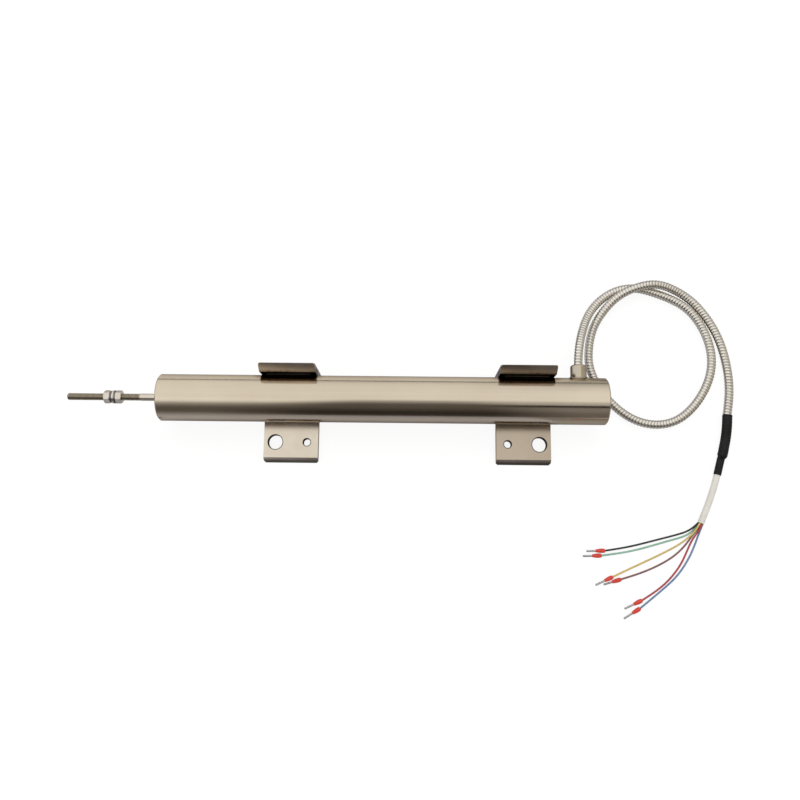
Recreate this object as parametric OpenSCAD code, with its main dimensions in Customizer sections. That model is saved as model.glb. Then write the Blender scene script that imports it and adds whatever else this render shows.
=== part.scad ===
// Inductive displacement sensor: a welded stainless tube on two angle brackets, with a sliding
// core rod at the front, a winding pack inside, and a lead in flexible metal conduit at the rear.
// X runs along the tube, from the rod's end to the rear end. Z is up from the brackets' underside.
// The origin lies midway between the two large bracket holes, on the surface that the brackets rest on.

/* [Housing] */
// Outer diameter of the housing tube
tube_d = 32; // [31:0.5:33]
// Wall thickness of the housing tube
tube_wall = 2; // [1.5:0.25:2]
// Length of the housing tube
tube_len = 304; // [302:1:310]
// Distance from the origin to the tube's front face
tube_front = 169; // [168:0.5:170]
// Length of the turned end plugs
plug_len = 10; // [9:0.5:11]
// Chamfer on both ends of the tube
tube_chamfer = 0.8; // [0.4:0.1:1.2]

/* [Brackets] */
// Length of the angle leg that is bolted down
foot_leg = 63; // [61:0.5:66]
// Length of the angle leg behind the tube
back_leg = 40; // [36:0.5:44]
// Thickness of the angle section
angle_t = 5; // [4:0.5:6]
// Radius of the rounded toes of the angle section
toe_r = 6.5; // [6:0.25:9]
// Width of each bracket along the tube
bracket_w = 38; // [34:1:42]
// Distance between the two large holes
bolt_pitch = 184; // [180:1:186]
// Diameter of the large holes
bolt_hole_d = 10; // [8:0.5:11]
// Distance between the two small holes
pilot_pitch = 140; // [138:1:144]
// Diameter of the small holes
pilot_hole_d = 5; // [3:0.5:6]
// Distance from the holes to the foot's free edge
hole_edge = 14; // [12:0.5:16]

/* [Core and rod] */
// Diameter of the smooth rod
rod_d = 5; // [4:0.5:5]
// Outer diameter of the rod's thread
thread_d = 4.86; // [3.8:0.02:4.9]
// Mean diameter of the thread, at which a nut and the rod are drawn to meet
thread_mean_d = 4.48; // [3.4:0.02:4.5]
// Length of the threaded end
thread_len = 50; // [40:1:55]
// How far the rod stands out of the tube at rest
rod_out = 64; // [62:1:80]
// Diameter of the sliding core
core_d = 9; // [8:0.25:9]
// Length of the sliding core
core_len = 100; // [90:2:100]

/* [Nuts and washers] */
// Width across the flats of the nuts
nut_flats = 8; // [7:0.5:9]
// Height of each nut
nut_h = 4.3; // [4:0.1:4.7]
// Outer diameter of the flat washers
washer_d = 9; // [8.5:0.5:10]
// Thickness of each flat washer
washer_t = 1; // [0.8:0.1:1.2]
// Outer diameter of the spring washer
spring_washer_d = 8.1; // [7.8:0.1:9]
// Thickness of the spring washer
spring_washer_t = 1.6; // [1.2:0.1:1.8]

/* [Windings] */
// Outer diameter of the liner tube that the core slides in
liner_d = 12; // [12:0.5:13]
// Inner diameter of the liner tube
liner_bore = 10; // [10:0.25:10.5]
// Outer diameter of the winding former's flanges
flange_d = 25; // [23:0.5:25]
// Outer diameter of the windings
winding_d = 22.6; // [20:0.2:22.6]
// Length of the middle winding
primary_len = 80; // [70:2:90]

/* [Cable outlet] */
// Distance from the origin to the outlet's axis
outlet_x = 117; // [116:0.5:118]
// Outer diameter of the outlet sleeve
outlet_d = 11; // [10:0.5:12]
// Distance from the tube's axis to the outlet's mouth
outlet_reach = 25; // [24:0.5:27]
// Outer diameter of the metal conduit
conduit_d = 6; // [5.5:0.1:6.2]
// Outer diameter of the lead's white sheath
sheath_d = 4.5; // [4:0.1:4.6]
// Outer diameter of the single wires
wire_d = 1.3; // [1:0.05:1.3]

/* [Hidden] */
$fn = 96;

// Fits: a pressed or welded seat, and the rod's sliding fit in its bush
seat_gap = 0.02;
slide_gap = 0.05;
// How far a cutting tool runs past the face it leaves
past = 1;

// The tube's axis, which touches both legs of the brackets
tube_r = tube_d / 2;
bore_r = tube_r - tube_wall;
tube_start = -tube_front;
tube_end = tube_start + tube_len;
back_inner = foot_leg - hole_edge - angle_t;
axis_y = back_inner - tube_r;
axis_z = angle_t + tube_r;

// Brackets: the edges of the rolled angle
root_r = 7;
toe_run = sqrt(toe_r * toe_r - (toe_r - angle_t) * (toe_r - angle_t));
corner_cut = 1.2;
hole_margin = 8;
weld_near = 3;
weld_far = 6.5;
weld_edge = 0.5;
weld_inset = 4;

// Rod, core and bush along the axis
rod_r = rod_d / 2;
thread_r = thread_d / 2;
thread_mean_r = thread_mean_d / 2;
rod_tip = tube_start - rod_out;
tip_chamfer = 0.6;
thread_runout = 0.3;
spigot_r = rod_r - 0.5;
spigot_len = 12;
core_inset = 166;
core_start = tube_start + core_inset;
core_edge = 0.5;
bush_r = 4.5;
bush_head_r = 5.6;
bush_head_t = 1.6;
bush_len = 8;

// Nuts and washers, in their order from the rod's free end
stack_inset = 25.3;
stack_start = rod_tip + stack_inset;
spring_x = stack_start + nut_h;
outer_washer_x = spring_x + spring_washer_t;
inner_washer_x = outer_washer_x + washer_t;
inner_nut_x = inner_washer_x + washer_t;
nut_turn = 30;
nut_bevel = 0.6;
nut_face_r = nut_flats / 2 - 0.2;
washer_bore_r = rod_r + 0.1;
split_gap = 0.5;
split_slant = 25;

// Winding pack between the two plugs
liner_r = liner_d / 2;
liner_seat = 2;
liner_start = tube_start + plug_len - liner_seat;
liner_end = tube_end - plug_len + liner_seat;
former_r = liner_r + 1;
flange_t = 3;
pack_gap = 2;
outlet_room = 14;
pack_start = tube_start + plug_len + pack_gap;
pack_end = outlet_x - outlet_room;
secondary_len = (pack_end - pack_start - 4 * flange_t - primary_len) / 2;
primary_start = pack_start + 2 * flange_t + secondary_len;
rear_start = primary_start + primary_len + flange_t;
shield_r = bore_r - 0.2;
shield_wall = 1.1;
winding_gap = 0.1;
board_t = 1.6;
board_gap = 0.4;
board_x = pack_end + board_gap;
pin_ring_r = 9.5;
terminal_pin_r = 0.4;
terminal_pin_len = 4.6;

// Cable outlet
outlet_r = outlet_d / 2;
outlet_bore_r = conduit_d / 2 + 0.15;
outlet_stop = 18;
outlet_sink = 2;
outlet_round = 1.4;
bead_r = 0.75;
bead_out = 0.1;
bead_rings = 48;
bead_sides = 10;
bead_swell = 0.09;
bead_drops = 12;
lead_hole_r = sheath_d / 2 + 0.3;
tail_from = 8.5;

// Ferrules: a plastic collar with a tinned pin in it
collar_len = 6.3;
collar_r = 1.5;
collar_edge = 0.25;
collar_body = 2.8;
collar_neck_r = 1.1;
pin_r = 0.65;
pin_seat = 2.5;

// Cross-sections of the lead, as numbers of sides
conduit_sides = 12;
wire_sides = 8;

// Route of the conduit: out of the outlet, down to the table, round one loop, under the tube's
// rear corner, once more round and over itself, and on to the heat-shrink sleeve
CONDUIT = [
    [outlet_x, 46, 21], [outlet_x, 54, 21], [118.5, 67, 19], [122.5, 80.5, 13],
    [128.8, 94, 6.5], [138, 105, 3.3], [150, 112.2, 3], [163, 114, 3], [176, 111, 3],
    [188.5, 106, 3], [199.5, 99, 3], [207.5, 89, 3], [212.8, 77, 3], [215, 64, 3],
    [213.5, 51.5, 3], [208, 38.5, 3], [199, 26.5, 3], [187.5, 18, 3], [174.5, 15.2, 3],
    [161.5, 17.5, 3], [150, 24, 3], [139.9, 34, 3], [132.5, 45.5, 3], [128.5, 58, 3],
    [128.8, 71, 3], [132.3, 84.5, 3], [139.5, 96.5, 4.5], [149.5, 106.5, 7.3],
    [162, 112.6, 9.5], [175.5, 115.3, 8.8], [188.5, 113.2, 5.2], [200.5, 106.8, 3],
    [210, 96.7, 3], [217.5, 84.5, 3], [222.5, 71.5, 3], [225.3, 58, 3], [226.2, 40, 3],
    [223.8, 22.5, 3]
];
// Route of the heat-shrink sleeve, over the conduit's end and then over the bare sheath
SLEEVE = [
    [223.8, 22.5, 3.4], [222.6, 11, 3.4], [220.3, 0, 3.4], [218.3, -7, 3.4],
    [217.9, -8.4, 2.6], [214.8, -19.5, 2.6]
];
SLEEVE_RADII = [3.4, 3.4, 3.4, 3.4, 2.6, 2.6];
// Route of the white sheath
SHEATH = [[214.8, -19.5, 2.3], [211, -31, 2.3], [206.6, -42, 2.3], [201.8, -52.7, 2.3]];
// Route of each wire out of the sheath, in the order of the colours, and the tip of its pin
WIRE_COLORS = ["black", "seagreen", "gold", "saddlebrown", "crimson", "royalblue"];
WIRES = [
    [[200.2, -52.4, 2.4], [194.8, -57, 1.1], [186, -60.5, 0.65], [171, -64.5, 0.65],
     [154, -68.8, 0.65], [136, -72, 1.75]],
    [[201, -52.6, 1.1], [195.2, -59, 0.65], [183, -64, 0.65], [170, -67.8, 0.65],
     [154, -72, 0.65], [133.5, -75.3, 1.75]],
    [[201, -52.6, 3.5], [197, -58.7, 2.3], [192.3, -63.4, 0.65], [179, -71.5, 0.65],
     [166, -77.8, 0.65], [153, -83.8, 0.65], [140.7, -89.5, 1.5]],
    [[202.4, -53.2, 1.1], [196.5, -60.8, 0.65], [189.5, -69.3, 0.65], [183, -75, 0.65],
     [174, -80.5, 0.65], [163, -85.5, 0.65], [146.2, -91, 1.75]],
    [[202.4, -53.2, 3.5], [199.8, -58.3, 2], [196, -64.2, 0.65], [189, -77.8, 0.65],
     [183, -86.5, 0.65], [176.5, -93.3, 0.65], [160, -104.7, 1.75]],
    [[203.1, -53.5, 2.3], [200.8, -59.5, 1.1], [195.2, -72.5, 0.65], [190.5, -80.5, 0.65],
     [184.5, -88.3, 0.65], [175.5, -96.6, 0.65], [158.5, -110, 1.75]]
];
PIN_TIPS = [
    [123.5, -72.4, 0.65], [121, -75.8, 0.65], [128.6, -95, 2.8],
    [134.6, -94.7, 0.65], [148.2, -110.5, 0.65], [147.5, -117, 0.65]
];

// Unit vector along v
function unit(v) = v / norm(v);
// Direction of a route at its point i, halfway between the two stretches that meet there
function heading(route, i) =
    i == 0 ? unit(route[1] - route[0]) :
    i == len(route) - 1 ? unit(route[i] - route[i - 1]) :
    unit(unit(route[i + 1] - route[i]) + unit(route[i] - route[i - 1]));
// Level direction across a heading
function across(dir) = unit(cross(dir, [0, 0, 1]));
// Points of one ring of the given radius round a point
function ring_points(at, dir, r, sides) = [
    for (k = [0 : sides - 1])
        at + r * cos(360 * k / sides) * across(dir)
           + r * sin(360 * k / sides) * cross(across(dir), dir)
];

// Round bar swept along a route, with one radius for each point
module swept_bar(route, radii, sides) {
    rings = len(route);
    points = [for (i = [0 : rings - 1]) each ring_points(route[i], heading(route, i), radii[i], sides)];
    walls = [
        for (i = [0 : rings - 2], k = [0 : sides - 1])
            [i * sides + k, i * sides + (k + 1) % sides,
             (i + 1) * sides + (k + 1) % sides, (i + 1) * sides + k]
    ];
    start_cap = [[for (k = [sides - 1 : -1 : 0]) k]];
    end_cap = [[for (k = [0 : sides - 1]) (rings - 1) * sides + k]];
    polyhedron(points = points, faces = concat(walls, start_cap, end_cap), convexity = 10);
}

// The same radius for every point of a route
function even(route, r) = [for (p = route) r];

// Moves a shape drawn up the Z axis onto the tube's axis, with its base at x
module on_axis(x) {
    translate([x, axis_y, axis_z]) rotate([0, 90, 0]) children();
}

// Moves a shape drawn up the Z axis onto the outlet's axis, with its base on the tube's axis
module on_outlet() {
    translate([outlet_x, axis_y, axis_z]) rotate([-90, 0, 0]) children();
}

// Moves a shape drawn up the Z axis to a point, turned towards another point
module aimed(from, to) {
    way = to - from;
    translate(from)
        rotate([0, acos(way.z / norm(way)), atan2(way.y, way.x)])
            children();
}

// Plain ring on the tube's axis
module axis_ring(x, length, outer_r, inner_r) {
    on_axis(x) rotate_extrude()
        translate([inner_r, 0]) square([outer_r - inner_r, length]);
}

// Drawn stainless tube with chamfered ends and one hole for the lead
module housing_tube() {
    color("tan") difference() {
        on_axis(tube_start) rotate_extrude() polygon([
            [bore_r, 0], [tube_r - tube_chamfer, 0], [tube_r, tube_chamfer],
            [tube_r, tube_len - tube_chamfer], [tube_r - tube_chamfer, tube_len], [bore_r, tube_len]
        ]);
        on_outlet() cylinder(r = lead_hole_r, h = tube_r + past);
    }
}

// Turned plug in the front end, bored for the guide bush and recessed for the liner
module front_plug() {
    plug_r = bore_r - seat_gap;
    color("silver") on_axis(tube_start) rotate_extrude() polygon([
        [bush_head_r + seat_gap, 0], [plug_r, 0], [plug_r, plug_len], [liner_r + seat_gap, plug_len],
        [liner_r + seat_gap, plug_len - liner_seat], [bush_r + seat_gap, plug_len - liner_seat],
        [bush_r + seat_gap, bush_head_t], [bush_head_r + seat_gap, bush_head_t]
    ]);
}

// Turned plug that closes the rear end, recessed for the liner
module rear_plug() {
    plug_r = bore_r - seat_gap;
    color("silver") on_axis(tube_end - plug_len) rotate_extrude() polygon([
        [0, liner_seat], [liner_r + seat_gap, liner_seat], [liner_r + seat_gap, 0], [plug_r, 0],
        [plug_r, plug_len], [0, plug_len]
    ]);
}

// Flanged plastic bush that the rod slides in
module guide_bush() {
    bush_bore_r = rod_r + slide_gap;
    color("white") on_axis(tube_start) rotate_extrude() polygon([
        [bush_bore_r, 0], [bush_head_r, 0], [bush_head_r, bush_head_t], [bush_r, bush_head_t],
        [bush_r, bush_len], [bush_bore_r, bush_len]
    ]);
}

// Thin non-magnetic tube between the plugs, in which the core slides
module liner_tube() {
    color("gainsboro") axis_ring(liner_start, liner_end - liner_start, liner_r, liner_bore / 2);
}

// Moulded former with four flanges that part the three windings
module coil_former() {
    flange_starts = [pack_start, pack_start + flange_t + secondary_len,
                     primary_start + primary_len, pack_end - flange_t];
    color("khaki") on_axis(0) rotate_extrude() {
        translate([liner_r + winding_gap, pack_start])
            square([former_r - liner_r - winding_gap, pack_end - pack_start]);
        for (x = flange_starts)
            translate([liner_r + winding_gap, x])
                square([flange_d / 2 - liner_r - winding_gap, flange_t]);
    }
}

// One winding of enamelled wire, which fills the space between two flanges
module winding(x, length) {
    axis_ring(x + winding_gap, length - 2 * winding_gap, winding_d / 2, former_r + winding_gap);
}
module primary_winding() {
    color("peru") winding(primary_start, primary_len);
}
module front_secondary() {
    color("chocolate") winding(pack_start + flange_t, secondary_len);
}
module rear_secondary() {
    color("chocolate") winding(rear_start, secondary_len);
}

// Soft-iron tube round the windings
module magnetic_shield() {
    color("dimgray") axis_ring(pack_start, pack_end - pack_start, shield_r, shield_r - shield_wall);
}

// Insulating board behind the windings, and the six pins on which the wires end
module terminal_board() {
    color("darkgreen") difference() {
        axis_ring(board_x, board_t, flange_d / 2, liner_r + winding_gap);
        at_terminals(board_x - past) cylinder(r = terminal_pin_r + seat_gap, h = board_t + 2 * past);
    }
}
module terminal_pins() {
    color("lightgray") at_terminals(board_x) cylinder(r = terminal_pin_r, h = terminal_pin_len, $fn = 24);
}
module at_terminals(x) {
    for (turn = [30 : 60 : 330])
        on_axis(x) rotate([0, 0, turn]) translate([pin_ring_r, 0, 0]) children();
}

// Section of the rolled angle, drawn with the foot along X and the back leg up Y. Each toe is an
// arc from its outer corner that runs smoothly into the inner face.
module angle_section() {
    difference() {
        union() {
            translate([-hole_edge, 0]) square([foot_leg, angle_t]);
            translate([back_inner, 0]) square([angle_t, back_leg]);
            difference() {
                translate([back_inner - root_r, angle_t]) square(root_r);
                translate([back_inner - root_r, angle_t + root_r]) circle(r = root_r);
            }
        }
        difference() {
            translate([-hole_edge - past, 0]) square([toe_run + past, angle_t + past]);
            translate([toe_run - hole_edge, angle_t - toe_r]) circle(r = toe_r);
        }
        difference() {
            translate([back_inner - past, back_leg - toe_run]) square([angle_t + past, toe_run + past]);
            translate([back_inner + toe_r, back_leg - toe_run]) circle(r = toe_r);
        }
    }
}

// Prism with a square section set on its corner, which breaks an edge of the angle
module edge_cutter(length) {
    linear_extrude(length)
        polygon([[corner_cut, 0], [0, corner_cut], [-corner_cut, 0], [0, -corner_cut]]);
}

// Sawn length of rolled angle with two holes in its foot, at the positive end of the tube
module bracket() {
    hole_big = bolt_pitch / 2;
    x_out = hole_big + hole_margin;
    x_in = x_out - bracket_w;
    difference() {
        translate([x_in, 0, 0]) rotate([90, 0, 90]) linear_extrude(bracket_w) angle_section();
        translate([hole_big, 0, -past]) cylinder(d = bolt_hole_d, h = angle_t + 2 * past);
        translate([pilot_pitch / 2, 0, -past]) cylinder(d = pilot_hole_d, h = angle_t + 2 * past, $fn = 48);
        for (x = [x_in, x_out]) {
            translate([x, -hole_edge, -past]) edge_cutter(angle_t + 2 * past);
            translate([x, back_inner - past, back_leg]) rotate([-90, 0, 0])
                edge_cutter(angle_t + 2 * past);
        }
    }
}
module front_bracket() {
    color("tan") mirror([1, 0, 0]) bracket();
}
module rear_bracket() {
    color("tan") bracket();
}

// Fillet welds between the tube and the two legs, drawn like the angle's section
module weld_section() {
    difference() {
        union() {
            polygon([
                [axis_y - weld_far, angle_t], [axis_y - weld_near, angle_t],
                [axis_y - weld_near, angle_t + weld_near], [axis_y - weld_far, angle_t + weld_edge]
            ]);
            polygon([
                [back_inner, axis_z + weld_near], [back_inner, axis_z + weld_far],
                [back_inner - weld_edge, axis_z + weld_far],
                [back_inner - weld_near, axis_z + weld_near]
            ]);
        }
        translate([axis_y, axis_z]) circle(r = tube_r + seat_gap);
    }
}
module bracket_weld() {
    translate([bolt_pitch / 2 + hole_margin - bracket_w + weld_inset, 0, 0])
        rotate([90, 0, 90]) linear_extrude(bracket_w - 2 * weld_inset) weld_section();
}
module front_bracket_weld() {
    color("gray") mirror([1, 0, 0]) bracket_weld();
}
module rear_bracket_weld() {
    color("gray") bracket_weld();
}

// Turned sleeve welded on the tube's flank, coped to the tube and bored for the conduit
module outlet_sleeve() {
    color("tan") difference() {
        on_outlet() rotate_extrude() difference() {
            polygon([
                [lead_hole_r, tube_r - outlet_sink], [outlet_r, tube_r - outlet_sink],
                [outlet_r, outlet_reach], [outlet_bore_r, outlet_reach],
                [outlet_bore_r, outlet_stop], [lead_hole_r, outlet_stop]
            ]);
            difference() {
                translate([outlet_r - outlet_round, outlet_reach - outlet_round])
                    square(outlet_round + past);
                translate([outlet_r - outlet_round, outlet_reach - outlet_round])
                    circle(r = outlet_round);
            }
        }
        on_axis(outlet_x - outlet_d) cylinder(r = tube_r + seat_gap, h = 2 * outlet_d);
    }
}

// Point of the saddle line on which the outlet sleeve meets the tube, at an angle round the outlet
// and at a distance out from both surfaces
function saddle(turn, out) =
    let (reach = outlet_r + out)
    [outlet_x + reach * cos(turn),
     axis_y + sqrt(pow(tube_r + out, 2) - pow(reach * sin(turn), 2)),
     axis_z + reach * sin(turn)];

// Weld bead laid in overlapping drops along the saddle line
module outlet_weld() {
    line = [for (i = [0 : bead_rings - 1]) saddle(360 * i / bead_rings, bead_out)];
    points = [
        for (i = [0 : bead_rings - 1])
            let (dir = unit(line[(i + 1) % bead_rings] - line[(i + bead_rings - 1) % bead_rings]),
                 r = bead_r + bead_swell * cos(360 * bead_drops * i / bead_rings),
                 out = unit([line[i].x - outlet_x, 0, line[i].z - axis_z]))
            for (k = [0 : bead_sides - 1])
                line[i] + r * cos(360 * k / bead_sides) * out
                        + r * sin(360 * k / bead_sides) * cross(dir, out)
    ];
    walls = [
        for (i = [0 : bead_rings - 1], k = [0 : bead_sides - 1])
            let (j = (i + 1) % bead_rings, l = (k + 1) % bead_sides)
            [i * bead_sides + l, i * bead_sides + k, j * bead_sides + k, j * bead_sides + l]
    ];
    color("gray") difference() {
        polyhedron(points = points, faces = walls, convexity = 10);
        on_axis(outlet_x - outlet_d) cylinder(r = tube_r + seat_gap, h = 2 * outlet_d);
        on_outlet() cylinder(r = outlet_r + seat_gap, h = outlet_reach);
    }
}

// Stretch of the sheathed lead inside the outlet and the tube
module cable_tail() {
    color("ivory") on_outlet() translate([0, 0, tail_from])
        cylinder(d = sheath_d, h = outlet_stop - tail_from);
}

// Soft magnetic core, bored at its front end for the rod
module core() {
    color("slategray") on_axis(core_start) rotate_extrude() polygon([
        [spigot_r + slide_gap, 0], [core_d / 2 - core_edge, 0], [core_d / 2, core_edge],
        [core_d / 2, core_len - core_edge], [core_d / 2 - core_edge, core_len], [0, core_len],
        [0, spigot_len + core_edge], [spigot_r + slide_gap, spigot_len + core_edge]
    ]);
}

// Non-magnetic rod: threaded end, smooth shank, and a spigot fixed in the core
module core_rod() {
    shoulder = core_start - rod_tip;
    outer = stack_start - rod_tip;
    inner = inner_nut_x - rod_tip;
    color("silver") on_axis(rod_tip) rotate_extrude() polygon([
        [0, 0], [thread_r - tip_chamfer, 0], [thread_r, tip_chamfer],
        [thread_r, outer], [thread_mean_r, outer], [thread_mean_r, outer + nut_h],
        [thread_r, outer + nut_h], [thread_r, inner], [thread_mean_r, inner],
        [thread_mean_r, inner + nut_h], [thread_r, inner + nut_h], [thread_r, thread_len],
        [rod_r, thread_len + thread_runout], [rod_r, shoulder], [spigot_r, shoulder],
        [spigot_r, shoulder + spigot_len], [0, shoulder + spigot_len]
    ]);
}

// Hexagon nut with bevelled corners on both faces
module hex_nut(x) {
    corner_r = nut_flats / sqrt(3);
    difference() {
        intersection() {
            on_axis(x) rotate([0, 0, nut_turn]) cylinder(r = corner_r, h = nut_h, $fn = 6);
            on_axis(x) rotate_extrude() polygon([
                [0, 0], [nut_face_r, 0], [corner_r, nut_bevel],
                [corner_r, nut_h - nut_bevel], [nut_face_r, nut_h], [0, nut_h]
            ]);
        }
        on_axis(x - past) cylinder(r = thread_mean_r + seat_gap, h = nut_h + 2 * past);
    }
}
module outer_nut() {
    color("silver") hex_nut(stack_start);
}
module inner_nut() {
    color("silver") hex_nut(inner_nut_x);
}
module outer_flat_washer() {
    color("lightgray") axis_ring(outer_washer_x, washer_t, washer_d / 2, washer_bore_r);
}
module inner_flat_washer() {
    color("lightgray") axis_ring(inner_washer_x, washer_t, washer_d / 2, washer_bore_r);
}

// Spring washer: one ring with a slanting cut through it
module spring_washer() {
    color("dimgray") difference() {
        axis_ring(spring_x, spring_washer_t, spring_washer_d / 2, washer_bore_r);
        on_axis(spring_x + spring_washer_t / 2) rotate([split_slant, 0, 0])
            translate([0, -split_gap / 2, -spring_washer_t])
                cube([spring_washer_d, split_gap, 2 * spring_washer_t]);
    }
}

// Lead: metal conduit, heat-shrink sleeve, white sheath
module metal_conduit() {
    color("darkgray") swept_bar(CONDUIT, even(CONDUIT, conduit_d / 2), conduit_sides);
}
module heat_shrink_sleeve() {
    color("black") swept_bar(SLEEVE, SLEEVE_RADII, conduit_sides);
}
module cable_sheath() {
    color("ivory") swept_bar(SHEATH, even(SHEATH, sheath_d / 2), conduit_sides);
}

// One wire, its ferrule's collar and the collar's pin, by the wire's number
module wire(i) {
    color(WIRE_COLORS[i]) swept_bar(WIRES[i], even(WIRES[i], wire_d / 2), wire_sides);
}
module collar(i) {
    start = WIRES[i][len(WIRES[i]) - 1];
    color("red") aimed(start, PIN_TIPS[i]) rotate_extrude($fn = 32) polygon([
        [0, 0], [collar_r - collar_edge, 0], [collar_r, collar_edge], [collar_r, collar_body],
        [collar_neck_r, collar_len], [pin_r + seat_gap, collar_len],
        [pin_r + seat_gap, collar_len - pin_seat], [0, collar_len - pin_seat]
    ]);
}
module ferrule_pin(i) {
    start = WIRES[i][len(WIRES[i]) - 1];
    whole = norm(PIN_TIPS[i] - start);
    color("silver") aimed(start, PIN_TIPS[i]) translate([0, 0, collar_len - pin_seat])
        cylinder(r = pin_r, h = whole - collar_len + pin_seat, $fn = 24);
}

housing_tube();
front_plug();
rear_plug();
guide_bush();
liner_tube();
coil_former();
primary_winding();
front_secondary();
rear_secondary();
magnetic_shield();
terminal_board();
terminal_pins();
front_bracket();
rear_bracket();
front_bracket_weld();
rear_bracket_weld();
outlet_sleeve();
outlet_weld();
cable_tail();
core();
core_rod();
outer_nut();
spring_washer();
outer_flat_washer();
inner_flat_washer();
inner_nut();
metal_conduit();
heat_shrink_sleeve();
cable_sheath();
wire(0);  // wire_black
wire(1);  // wire_green
wire(2);  // wire_yellow
wire(3);  // wire_brown
wire(4);  // wire_red
wire(5);  // wire_blue
collar(0);  // collar_black
collar(1);  // collar_green
collar(2);  // collar_yellow
collar(3);  // collar_brown
collar(4);  // collar_red
collar(5);  // collar_blue
ferrule_pin(0);  // pin_black
ferrule_pin(1);  // pin_green
ferrule_pin(2);  // pin_yellow
ferrule_pin(3);  // pin_brown
ferrule_pin(4);  // pin_red
ferrule_pin(5);  // pin_blue
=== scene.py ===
import math

import bpy
import numpy as np
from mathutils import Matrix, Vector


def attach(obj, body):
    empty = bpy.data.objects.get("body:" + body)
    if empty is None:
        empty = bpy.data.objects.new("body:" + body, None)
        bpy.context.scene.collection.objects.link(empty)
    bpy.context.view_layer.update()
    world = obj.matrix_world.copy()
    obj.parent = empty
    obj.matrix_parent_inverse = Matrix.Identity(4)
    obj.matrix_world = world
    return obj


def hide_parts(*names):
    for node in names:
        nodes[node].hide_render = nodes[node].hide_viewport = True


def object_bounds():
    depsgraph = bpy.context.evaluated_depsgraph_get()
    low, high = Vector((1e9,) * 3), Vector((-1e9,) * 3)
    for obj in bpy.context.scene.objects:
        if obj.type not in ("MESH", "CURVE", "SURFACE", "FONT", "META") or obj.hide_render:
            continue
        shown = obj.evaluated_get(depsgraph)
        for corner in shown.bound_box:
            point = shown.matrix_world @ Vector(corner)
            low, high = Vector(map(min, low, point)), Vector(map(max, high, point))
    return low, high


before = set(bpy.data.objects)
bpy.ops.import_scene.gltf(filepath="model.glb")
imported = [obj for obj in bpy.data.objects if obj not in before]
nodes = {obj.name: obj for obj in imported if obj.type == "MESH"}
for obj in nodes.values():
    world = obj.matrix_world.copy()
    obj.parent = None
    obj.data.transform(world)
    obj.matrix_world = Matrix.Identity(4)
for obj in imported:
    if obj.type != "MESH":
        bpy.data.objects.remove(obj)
cad_low, cad_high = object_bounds()


# Camera
# It looks down on the table from a little over half a metre, ten degrees off the vertical, from the
# side of the brackets' holes. Its place and lens were fitted to the sensor's edges in the photograph.
FILM_WIDTH_MM, LENS_MM = 36.0, 36.53
CAMERA_PLACE = (0.00244, -0.06654, 0.56748)
CAMERA_TURN = (0.17105, 0.01169, 0.01196)


def scene_object(name, data):
    """New object with that data, put into the scene."""
    made = bpy.data.objects.new(name, data)
    bpy.context.scene.collection.objects.link(made)
    return made


camera_data = bpy.data.cameras.new("camera")
camera_data.sensor_width = FILM_WIDTH_MM
camera_data.lens = LENS_MM
camera_data.clip_start = 0.01
camera = scene_object("camera", camera_data)
camera.location = CAMERA_PLACE
camera.rotation_euler = CAMERA_TURN
bpy.context.scene.camera = camera
bpy.context.scene.view_settings.view_transform = "Standard"


# Metal conduit
# A hose wound from one narrow strip of stainless steel whose edges hook into each other, so that
# it bends freely. It is clamped in the outlet sleeve and lies in two loops on the table.
CONDUIT_POINTS = [
    (0.117, 0.046, 0.021), (0.117, 0.054, 0.021), (0.1185, 0.067, 0.019),
    (0.1225, 0.0805, 0.013), (0.1288, 0.094, 0.0065), (0.138, 0.105, 0.0033),
    (0.150, 0.1122, 0.003), (0.163, 0.114, 0.003), (0.176, 0.111, 0.003),
    (0.1885, 0.106, 0.003), (0.1995, 0.099, 0.003), (0.2075, 0.089, 0.003),
    (0.2128, 0.077, 0.003), (0.215, 0.064, 0.003), (0.2135, 0.0515, 0.003),
    (0.208, 0.0385, 0.003), (0.199, 0.0265, 0.003), (0.1875, 0.018, 0.003),
    (0.1745, 0.0152, 0.003), (0.1615, 0.0175, 0.003), (0.150, 0.024, 0.003),
    (0.1399, 0.034, 0.003), (0.1325, 0.0455, 0.003), (0.1285, 0.058, 0.003),
    (0.1288, 0.071, 0.003), (0.1323, 0.0845, 0.003), (0.1395, 0.0965, 0.0045),
    (0.1495, 0.1065, 0.0073), (0.162, 0.1126, 0.0095), (0.1755, 0.1153, 0.0088),
    (0.1885, 0.1132, 0.0052), (0.2005, 0.1068, 0.003), (0.210, 0.0967, 0.003),
    (0.2175, 0.0845, 0.003), (0.2225, 0.0715, 0.003), (0.2253, 0.058, 0.003),
    (0.2262, 0.040, 0.003), (0.2238, 0.0225, 0.003),
]
CONDUIT_RADIUS = 0.003
CONDUIT_SIDES = 24
STRIP_PITCH = 0.00212
STRIP_STEPS = 12
GROOVE_DEPTH = 0.00022
CROWN_SHARE, RIB_FLANK = 0.6, 0.13
CROWN_RISE = 0.00005
CURVE_STEPS = 60


def lengths_along(line):
    """Distance from the first point of a line to each of its points."""
    return np.concatenate([[0], np.cumsum(np.linalg.norm(np.diff(line, axis=0), axis=1))])


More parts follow.
